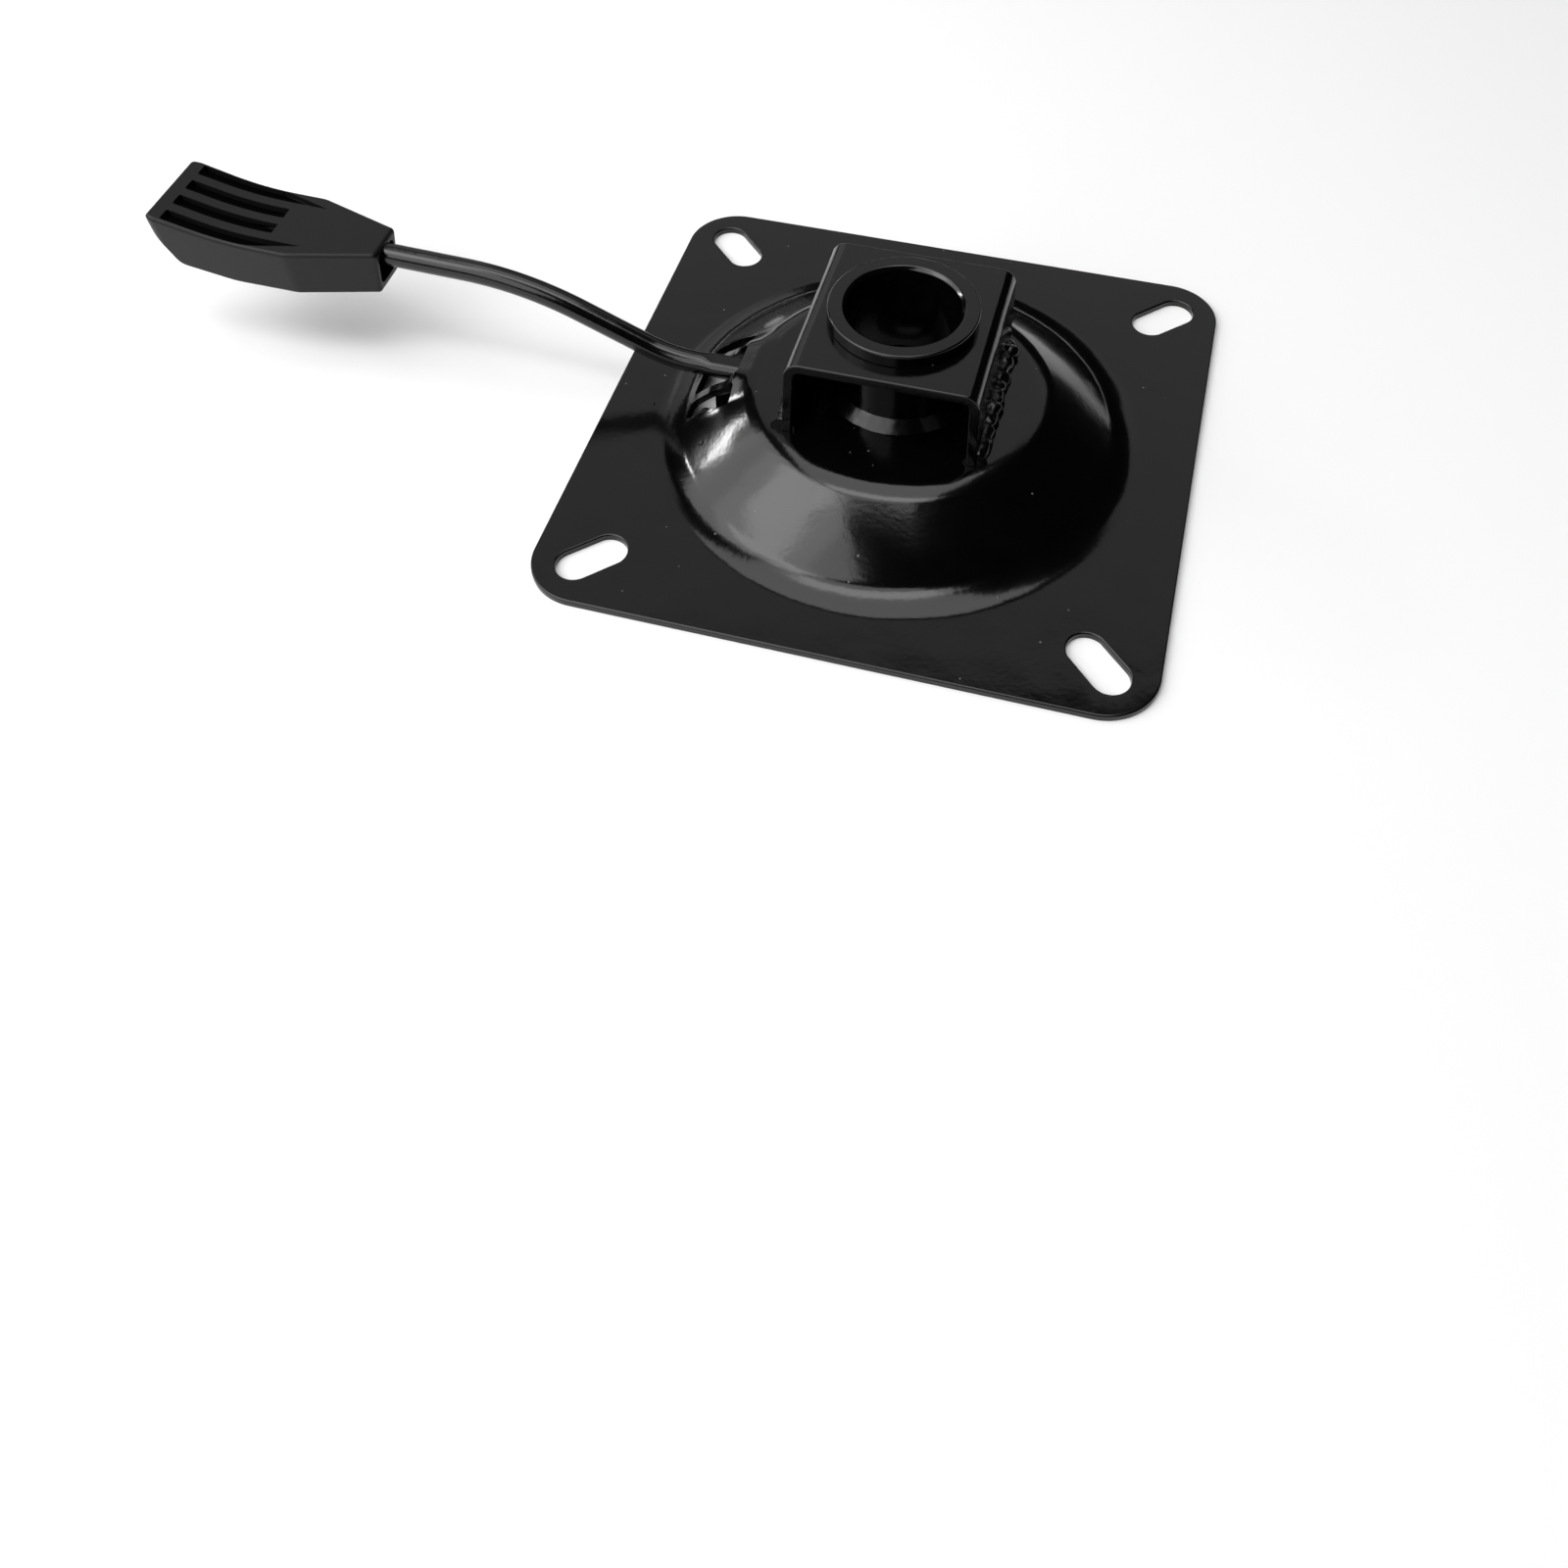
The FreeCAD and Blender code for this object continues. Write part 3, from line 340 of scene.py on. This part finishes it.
def black_paint(name, roughness):
    """Glossy black stove enamel over steel: a soft orange peel, faint mottling and dust nibs."""
    paint = bpy.data.materials.new(name)
    paint.use_nodes = True
    nodes, links = paint.node_tree.nodes, paint.node_tree.links
    shader = nodes["Principled BSDF"]
    shader.inputs["Metallic"].default_value = 0.0
    shader.inputs["IOR"].default_value = 1.5
    place = nodes.new("ShaderNodeTexCoord")

    # Mottling in tone and gloss.
    mottle = nodes.new("ShaderNodeTexNoise")
    mottle.inputs["Scale"].default_value = 90.0
    mottle.inputs["Detail"].default_value = 4.0
    links.new(place.outputs["Object"], mottle.inputs["Vector"])
    gloss = nodes.new("ShaderNodeMapRange")
    gloss.inputs["To Min"].default_value = roughness - 0.03
    gloss.inputs["To Max"].default_value = roughness + 0.04
    links.new(mottle.outputs["Fac"], gloss.inputs["Value"])
    links.new(gloss.outputs["Result"], shader.inputs["Roughness"])
    tone = nodes.new("ShaderNodeValToRGB")
    tone.color_ramp.elements[0].color = (0.0004, 0.0004, 0.0005, 1)
    tone.color_ramp.elements[1].color = (0.0016, 0.0016, 0.0017, 1)
    links.new(mottle.outputs["Fac"], tone.inputs["Fac"])

    # Dust nibs: sparse grey dots that also stand up a little.
    nib = nodes.new("ShaderNodeTexVoronoi")
    nib.inputs["Scale"].default_value = 130.0
    links.new(place.outputs["Object"], nib.inputs["Vector"])
    dot = nodes.new("ShaderNodeMapRange")
    dot.inputs["From Min"].default_value = 0.045
    dot.inputs["From Max"].default_value = 0.02
    links.new(nib.outputs["Distance"], dot.inputs["Value"])
    mix = nodes.new("ShaderNodeMix")
    mix.data_type = "RGBA"
    mix.inputs["B"].default_value = (0.12, 0.12, 0.12, 1)
    links.new(dot.outputs["Result"], mix.inputs["Factor"])
    links.new(tone.outputs["Color"], mix.inputs["A"])
    links.new(mix.outputs["Result"], shader.inputs["Base Color"])

    # Fine orange peel over shallow dents of about a centimetre.
    peel = nodes.new("ShaderNodeTexNoise")
    peel.inputs["Scale"].default_value = 700.0
    peel.inputs["Detail"].default_value = 2.0
    links.new(place.outputs["Object"], peel.inputs["Vector"])
    height = nodes.new("ShaderNodeMath")
    height.operation = "ADD"
    links.new(peel.outputs["Fac"], height.inputs[0])
    links.new(dot.outputs["Result"], height.inputs[1])
    dents = nodes.new("ShaderNodeTexNoise")
    dents.inputs["Scale"].default_value = 75.0
    dents.inputs["Detail"].default_value = 1.0
    links.new(place.outputs["Object"], dents.inputs["Vector"])
    dent = nodes.new("ShaderNodeBump")
    dent.inputs["Strength"].default_value = 0.4
    dent.inputs["Distance"].default_value = 0.0005
    links.new(dents.outputs["Fac"], dent.inputs["Height"])
    bump = nodes.new("ShaderNodeBump")
    bump.inputs["Strength"].default_value = 0.35
    bump.inputs["Distance"].default_value = 0.00006
    links.new(height.outputs["Value"], bump.inputs["Height"])
    links.new(dent.outputs["Normal"], bump.inputs["Normal"])
    links.new(bump.outputs["Normal"], shader.inputs["Normal"])
    return paint


steel_paint = black_paint("steel_paint", 0.13)
seat_plate.data.materials.append(steel_paint)


# Channel: 2.5 mm plate folded to a square arch, open to the front and back, welded to the dome
# along the foot of each flange. The socket drops through a hole in its top.
channel_low, channel_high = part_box("channel_bracket")
channel_gauge = 2.5 * mm
channel_splay = 0.8 * mm
channel_bend = 4.0 * mm
channel_edge_break = 0.35 * mm
socket_radius = 16.0 * mm
channel_mesh = bmesh.new()
foot, shoulder = channel_high.x, channel_high.x - channel_splay
fold = wire(channel_mesh, [
    (-foot, channel_low.y, dome_height), (-shoulder, channel_low.y, channel_high.z),
    (shoulder, channel_low.y, channel_high.z), (foot, channel_low.y, dome_height)])
round_corners(channel_mesh, fold[1:3], channel_bend, 10)
folded = bmesh.ops.extrude_edge_only(channel_mesh, edges=channel_mesh.edges[:])["geom"]
folded_end = [item for item in folded if isinstance(item, bmesh.types.BMVert)]
bmesh.ops.translate(channel_mesh, verts=folded_end, vec=(0, channel_high.y - channel_low.y, 0))
top = max(channel_mesh.faces, key=lambda face: face.calc_center_median().z + face.calc_area())
top_rim = top.edges[:]
bmesh.ops.delete(channel_mesh, geom=[top], context="FACES_ONLY")
socket_hole = bmesh.ops.create_circle(channel_mesh, cap_ends=False, segments=96, radius=socket_radius,
                                      matrix=Matrix.Translation((0, 0, channel_high.z)))["verts"]
hole_rim = list({edge for vert in socket_hole for edge in vert.link_edges})
bmesh.ops.triangle_fill(channel_mesh, use_beauty=True, use_dissolve=False, edges=top_rim + hole_rim,
                        normal=(0, 0, 1))
bmesh.ops.recalc_face_normals(channel_mesh, faces=channel_mesh.faces[:])
bmesh.ops.solidify(channel_mesh, geom=channel_mesh.faces[:], thickness=channel_gauge)
cut_edges = [edge for edge in channel_mesh.edges if edge.calc_face_angle(0.0) > 1.0
             and all(abs(abs(vert.co.y) - channel_high.y) < 0.01 * mm for vert in edge.verts)]
break_edges(channel_mesh, cut_edges, channel_edge_break)
channel = make_piece(channel_mesh, "channel", "plate", ["channel_bracket"])
channel.data.materials.append(steel_paint)


# Socket: turned steel, with a collar that rests on the channel and a thin body down to the dome.
# Its bore takes the cone at the top of the gas lift.
socket_low, socket_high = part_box("socket_bush")
collar_radius = socket_high.x
collar_thickness = 3.4 * mm
bore_radius = 14.15 * mm
bore_lead = 0.9 * mm
under_break, rim_break, lead_break = 0.3 * mm, 0.55 * mm, 0.25 * mm
socket_mesh = bmesh.new()
collar_foot = socket_high.z - collar_thickness
turning = wire(socket_mesh, [
    (bore_radius, 0, socket_low.z), (socket_radius, 0, socket_low.z), (socket_radius, 0, collar_foot),
    (collar_radius, 0, collar_foot), (collar_radius, 0, socket_high.z),
    (bore_radius + bore_lead, 0, socket_high.z), (bore_radius, 0, socket_high.z - bore_lead)], closed=True)
round_corners(socket_mesh, [turning[3]], under_break, 3)
round_corners(socket_mesh, [turning[4]], rim_break, 4)
round_corners(socket_mesh, turning[5:7], lead_break, 3)
bmesh.ops.spin(socket_mesh, geom=socket_mesh.verts[:] + socket_mesh.edges[:], cent=(0, 0, 0),
               axis=(0, 0, 1), angle=math.tau, steps=160, use_merge=True)
socket = make_piece(socket_mesh, "socket", "plate", ["socket_bush"])
socket.data.materials.append(steel_paint)


# Socket weld: one ring of bead that joins the socket's foot to the dome's top. It is a little
# uneven, and its paint is duller than the sheet's.
weld_paint = black_paint("weld_paint", 0.22)
noise.seed_set(7)


def roughen(bm, amount, grain):
    """Push the surface in and out a little, the same way on every run."""
    for vert in bm.verts:
        vert.co += noise.noise_vector(vert.co / grain) * amount


ring_section = [(-0.3, -0.2), (2.8, -0.2), (2.2, 0.6), (1.2, 1.5), (0.5, 2.6), (-0.3, 3.2)]
ring_mesh = bmesh.new()
wire(ring_mesh, [(socket_radius + out * mm, 0, dome_height + up * mm) for out, up in ring_section],
     closed=True)
bmesh.ops.spin(ring_mesh, geom=ring_mesh.verts[:] + ring_mesh.edges[:], cent=(0, 0, 0),
               axis=(0, 0, 1), angle=math.tau, steps=200, use_merge=True)
roughen(ring_mesh, 0.12 * mm, 1.6 * mm)
socket_weld = make_piece(ring_mesh, "socket_weld_bead", "plate", ["socket_weld"], sharp=80.0)
socket_weld.data.materials.append(weld_paint)


# Spatter: drops of weld metal that stuck to the plate, the dome and the channel's top, under the
# paint. Each is its place and size in mm.
spatter_drops = [(-65.3, -7.3, 1.8, 0.45), (-60.2, -8.3, 1.8, 0.4), (-46.1, -23.7, 7.6, 0.8),
                 (-63.0, -17.1, 1.8, 0.35), (-6.0, -27.0, 18.0, 0.4), (-7.1, -18.5, 18.0, 0.35),
                 (0.4, -29.8, 18.0, 0.35), (-6.8, 20.0, 40.3, 0.4), (6.3, 21.5, 40.3, 0.4)]
spatter_mesh = bmesh.new()
for x, y, z, size in spatter_drops:
    bmesh.ops.create_icosphere(spatter_mesh, subdivisions=2, radius=size * mm,
                               matrix=Matrix.Translation((x * mm, y * mm, z * mm)))
spatter = make_piece(spatter_mesh, "spatter", "plate", [], sharp=80.0)
spatter.data.materials.append(weld_paint)


# Flange welds: a bead of overlapping puddles along the foot of each flange, laid by hand, with a
# few balls of spatter melted onto its ends. They lie on the dome's top and stop inside its sheet.
bead_radius, bead_depth = 3.2 * mm, 0.6 * mm
bead_rings, bead_puddles = 110, 11


def flange_weld(side, node, lumps):
    """Bead of uneven puddles, closed to a round end. Each lump is its place and size in mm."""
    low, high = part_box(node)
    bead = bmesh.new()
    centre = Vector((side * (channel_high.x - 0.2 * mm), low.y, dome_height))
    start = Matrix.Translation(centre) @ Matrix.Rotation(math.pi / 2, 4, "X")
    bmesh.ops.create_circle(bead, cap_ends=True, segments=32, radius=bead_radius, matrix=start)
    edges = bead.edges[:]
    step = Vector((0, (high.y - low.y) / bead_rings, 0))
    width = 1.0
    for n in range(1, bead_rings + 1):
        share = n / bead_rings
        uneven = 0.5 * noise.noise((share * 7.0, side * 3.0, 0))
        crest = abs(math.sin(math.pi * (share * bead_puddles + uneven)))
        end = math.sqrt(max(0.03, 1 - abs(2 * share - 1) ** 7))
        wanted = (0.82 + 0.11 * crest + 0.2 * noise.noise((share * 13.0, side, 5.0))) * end
        grown = bmesh.ops.extrude_edge_only(bead, edges=edges)["geom"]
        verts = [item for item in grown if isinstance(item, bmesh.types.BMVert)]
        edges = [item for item in grown if isinstance(item, bmesh.types.BMEdge)]
        bmesh.ops.translate(bead, verts=verts, vec=step)
        centre += step
        bmesh.ops.scale(bead, verts=verts, vec=(wanted / width, 1, wanted / width),
                        space=Matrix.Translation(-centre))
        width = wanted
    bmesh.ops.contextual_create(bead, geom=edges)
    for x, y, z, size in lumps:
        bmesh.ops.create_icosphere(bead, subdivisions=3, radius=size * mm,
                                   matrix=Matrix.Translation((x * mm, y * mm, z * mm)))
    roughen(bead, 0.45 * mm, 2.1 * mm)
    roughen(bead, 0.16 * mm, 0.8 * mm)
    for vert in bead.verts:
        vert.co.z = max(vert.co.z, dome_height - bead_depth)
    piece = make_piece(bead, node + "_bead", "plate", [node], sharp=80.0)
    piece.data.materials.append(weld_paint)


flange_weld(-1, "bracket_weld_left", [(-25.2, -19.0, 18.6, 1.2), (-26.4, -17.4, 18.0, 0.8)])
flange_weld(1, "bracket_weld_right", [(25.8, 17.4, 19.4, 2.1), (24.6, -19.4, 18.4, 1.1)])


# Lever bar: 6 mm round bar, bent twice and squeezed flat over the pin. Under the bore it is
# forged to a broad flat tip. Its other end is hidden in the grip, under the floor of the grooves.
bar_radius = 3.0 * mm
bar_points = [Vector((-180.0, 0, 32.4)) * mm, Vector((-101.2, 0, 30.1)) * mm,
              Vector((-61.5, 0, 12.7)) * mm, Vector((-14.0, 0, 12.7)) * mm]
bend_radii = [85.0 * mm, 36.0 * mm]
tip_sections = [(-11.0, 1.08, 0.88), (-8.5, 1.32, 0.66), (-6.0, 1.5, 0.54), (-3.0, 1.53, 0.53),
                (4.6, 1.53, 0.53), (6.4, 1.4, 0.52), (7.8, 1.1, 0.5), (8.6, 0.72, 0.42), (9.0, 0.3, 0.25)]
flat_middle, flat_half, flat_fade = -45.2 * mm, 7.4 * mm, 2.6 * mm
flat_height, flat_spread = 2.5 * mm, 1.13
hidden_end, hidden_top = -166 * mm, 34.2 * mm
bar_mesh = bmesh.new()


def run_straight(bm, edges, travel, steps):
    """Draw the bar's end out along a straight line."""
    for _ in range(steps):
        grown = bmesh.ops.extrude_edge_only(bm, edges=edges)["geom"]
        edges = [item for item in grown if isinstance(item, bmesh.types.BMEdge)]
        moved = [item for item in grown if isinstance(item, bmesh.types.BMVert)]
        bmesh.ops.translate(bm, verts=moved, vec=travel / steps)
    return edges


def bend_round(bm, edges, centre, turn, steps):
    """Bend the bar's end round a level axis."""
    swept = bmesh.ops.spin(bm, geom=edges, cent=centre, axis=(0, 1, 0), angle=turn, steps=steps,
                           use_merge=False)
    return [item for item in swept["geom_last"] if isinstance(item, bmesh.types.BMEdge)]


heading = (bar_points[1] - bar_points[0]).normalized()
begin = Matrix.Translation(bar_points[0]) @ heading.to_track_quat("Z", "Y").to_matrix().to_4x4()
bmesh.ops.create_circle(bar_mesh, cap_ends=True, segments=40, radius=bar_radius, matrix=begin)
bar_edges = bar_mesh.edges[:]
here = bar_points[0]
for corner, after, radius in zip(bar_points[1:3], bar_points[2:4], bend_radii):
    ahead = (after - corner).normalized()
    turn = heading.angle(ahead) * (1 if ahead.z < heading.z else -1)
    reach = radius * math.tan(abs(turn) / 2)
    bar_edges = run_straight(bar_mesh, bar_edges, corner - heading * reach - here, 4)
    side = Vector((heading.z, 0, -heading.x)) * math.copysign(radius, turn)
    bar_edges = bend_round(bar_mesh, bar_edges, corner - heading * reach + side, turn, 14)
    here = corner + ahead * reach
    heading = ahead
bar_edges = run_straight(bar_mesh, bar_edges, bar_points[3] - here, 44)

# Each section of the tip is a place in mm with the shares of the bar's width and height.
wide, tall, along = 1.0, 1.0, bar_points[3].x / mm
for place, width_share, height_share in tip_sections:
    grown = bmesh.ops.extrude_edge_only(bar_mesh, edges=bar_edges)["geom"]
    bar_edges = [item for item in grown if isinstance(item, bmesh.types.BMEdge)]
    verts = [item for item in grown if isinstance(item, bmesh.types.BMVert)]
    bmesh.ops.translate(bar_mesh, verts=verts, vec=((place - along) * mm, 0, 0))
    bmesh.ops.scale(bar_mesh, verts=verts, vec=(1, width_share / wide, height_share / tall),
                    space=Matrix.Translation((0, 0, -bar_points[3].z)))
    wide, tall, along = width_share, height_share, place
bmesh.ops.contextual_create(bar_mesh, geom=bar_edges)

for vert in bar_mesh.verts:
    if vert.co.x < hidden_end:
        vert.co.z = min(vert.co.z, hidden_top)
    fade = min(1.0, max(0.0, (flat_half - abs(vert.co.x - flat_middle)) / flat_fade))
    lift = vert.co.z - bar_points[3].z
    if fade > 0:
        pressed = max(-flat_height, min(flat_height, lift))
        vert.co.z += (pressed - lift) * fade
        vert.co.y *= 1 + (flat_spread - 1) * fade
lever_bar = make_piece(bar_mesh, "lever_bar", "lever", ["lever_rod"], sharp=50.0)
bar_paint = black_paint("bar_paint", 0.14)
lever_bar.data.materials.append(bar_paint)


# Pin: a short length of 5 mm rod welded across the underside of the bar's flat. It turns in the
# plate's two ears.
pin_edge_break = 0.4 * mm
pin_mesh = bmesh.new()
bmesh.ops.create_cone(pin_mesh, cap_ends=True, cap_tris=False, segments=40, radius1=pin_radius,
                      radius2=pin_radius, depth=pin_high.y - pin_low.y,
                      matrix=Matrix.Translation((pin_place, 0, pin_height))
                      @ Matrix.Rotation(math.pi / 2, 4, "X"))
pin_rims = [edge for edge in pin_mesh.edges if edge.calc_face_angle(0.0) > 1.0]
break_edges(pin_mesh, pin_rims, pin_edge_break)
pin = make_piece(pin_mesh, "pin", "lever", ["pivot_pin"])
pin.data.materials.append(bar_paint)


# Grip: a push-on moulding in hard black plastic, dished where the fingers lie. Its four grooves have
# a coarse spark texture, and are coloured near black with almost no shine as painted shade.
inner_row, outer_row, groove_half = 3.35 * mm, 10.05 * mm, 1.95 * mm
groove_start, inner_end, outer_end = -197.6 * mm, -169.7 * mm, -160.0 * mm
taper_start, taper_rate = -175.2 * mm, 0.257
groove_low, groove_high = 32.5 * mm, 50.0 * mm
groove_blur = 0.1 * mm


def moulded_plastic():
    """Satin black moulding. The grooves are found by their places along and across the grip."""
    plastic = bpy.data.materials.new("moulded_plastic")
    plastic.use_nodes = True
    nodes, links = plastic.node_tree.nodes, plastic.node_tree.links
    shader = nodes["Principled BSDF"]
    place = nodes.new("ShaderNodeTexCoord")
    grain = nodes.new("ShaderNodeTexNoise")
    grain.inputs["Scale"].default_value = 1800.0
    grain.inputs["Detail"].default_value = 3.0
    links.new(place.outputs["Object"], grain.inputs["Vector"])

    def combine(operation, first, second):
        """Math node over two numbers, each a plain value or another node's output."""
        node = nodes.new("ShaderNodeMath")
        node.operation = operation
        for socket, value in zip(node.inputs, (first, second)):
            if isinstance(value, float):
                socket.default_value = value
            else:
                links.new(value, socket)
        return node.outputs["Value"]

    def band(value, low, high):
        """1 where the value is between the limits, and 0 elsewhere."""
        rise = nodes.new("ShaderNodeMapRange")
        rise.inputs["From Min"].default_value = low
        rise.inputs["From Max"].default_value = low + groove_blur
        fall = nodes.new("ShaderNodeMapRange")
        fall.inputs["From Min"].default_value = high
        fall.inputs["From Max"].default_value = high - groove_blur
        links.new(value, rise.inputs["Value"])
        links.new(value, fall.inputs["Value"])
        return combine("MULTIPLY", rise.outputs["Result"], fall.outputs["Result"])

    axes = nodes.new("ShaderNodeSeparateXYZ")
    links.new(place.outputs["Object"], axes.inputs["Vector"])
    beside = combine("ABSOLUTE", axes.outputs["Y"], 0.0)
    past_taper = combine("MAXIMUM", combine("ADD", axes.outputs["X"], -taper_start), 0.0)
    tapered = combine("ADD", beside, combine("MULTIPLY", past_taper, taper_rate))
    inner = combine("MULTIPLY", band(beside, inner_row - groove_half, inner_row + groove_half),
                    band(axes.outputs["X"], groove_start, inner_end))
    outer = combine("MULTIPLY", band(beside, outer_row - groove_half, outer_row + groove_half),
                    band(tapered, 0.0, outer_row + groove_half))
    outer = combine("MULTIPLY", outer, band(axes.outputs["X"], groove_start, outer_end))
    groove_and_shade = combine("MULTIPLY", combine("MAXIMUM", inner, outer),
                     band(axes.outputs["Z"], groove_low, groove_high))
    # Painted shade: inside the grooves the colour goes near black and the shine almost to nothing.
    tone = nodes.new("ShaderNodeMix")
    tone.data_type = "RGBA"
    tone.inputs["A"].default_value = (0.005, 0.005, 0.0055, 1)
    tone.inputs["B"].default_value = (0.0004, 0.0004, 0.0004, 1)
    links.new(groove_and_shade, tone.inputs["Factor"])
    links.new(tone.outputs["Result"], shader.inputs["Base Color"])
    shine = nodes.new("ShaderNodeMapRange")
    shine.inputs["To Min"].default_value = 0.27
    shine.inputs["To Max"].default_value = 0.02
    links.new(groove_and_shade, shine.inputs["Value"])
    links.new(shine.outputs["Result"], shader.inputs["Specular IOR Level"])
    gloss = nodes.new("ShaderNodeMapRange")
    gloss.inputs["To Min"].default_value = 0.36
    gloss.inputs["To Max"].default_value = 0.52
    links.new(grain.outputs["Fac"], gloss.inputs["Value"])
    links.new(gloss.outputs["Result"], shader.inputs["Roughness"])
    coarseness = combine("ADD", combine("MULTIPLY", groove_and_shade, 2.0), 1.0)
    coarse = combine("MULTIPLY", grain.outputs["Fac"], coarseness)
    bump = nodes.new("ShaderNodeBump")
    bump.inputs["Strength"].default_value = 0.3
    bump.inputs["Distance"].default_value = 0.00005
    links.new(coarse, bump.inputs["Height"])
    links.new(bump.outputs["Normal"], shader.inputs["Normal"])
    return plastic


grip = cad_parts["lever_grip"]
grip.data.materials[0] = moulded_plastic()
